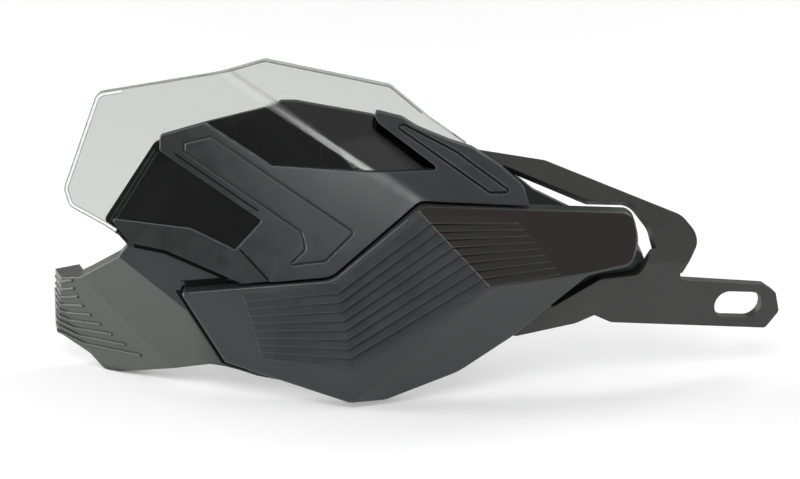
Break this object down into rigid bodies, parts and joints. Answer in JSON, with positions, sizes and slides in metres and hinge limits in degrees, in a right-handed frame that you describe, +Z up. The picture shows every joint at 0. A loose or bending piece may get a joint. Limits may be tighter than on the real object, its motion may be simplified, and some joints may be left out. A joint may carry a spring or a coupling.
{
  "type": "motorcycle hand guard",
  "caption": "Right-hand motorcycle hand guard: moulded shell with faceted ribbed covers, a clear wind deflector and a folded bracket with a slotted clamp tab.",
  "frame": {"origin": "centre of the bar-end bore, at the end face of the shell", "axes": "+X from the bar end towards the clamp tab, +Y from the road side towards the rider, +Z up"},
  "size_m": [0.309, 0.0752, 0.1361],
  "materials": {
    "shell_plastic": "satin moulded",
    "clear_sheet": "clear, polished",
    "cover_plastic": "satin moulded",
    "coated_plate": "fine-textured powder coat",
    "grommet_rubber": "matte",
    "fastener_steel": "zinc plated"
  },
  "bodies": {
    "root": {"base_shell": "shell_plastic", "clear_screen": "clear_sheet", "upper_cover": "cover_plastic", "lower_cover": "cover_plastic", "mounting_bracket": "coated_plate", "screen_grommets": "grommet_rubber", "upper_cover_screws": "fastener_steel", "lower_cover_screws": "fastener_steel", "bracket_washers": "fastener_steel", "bracket_nuts": "fastener_steel"}
  },
  "joints": []
}
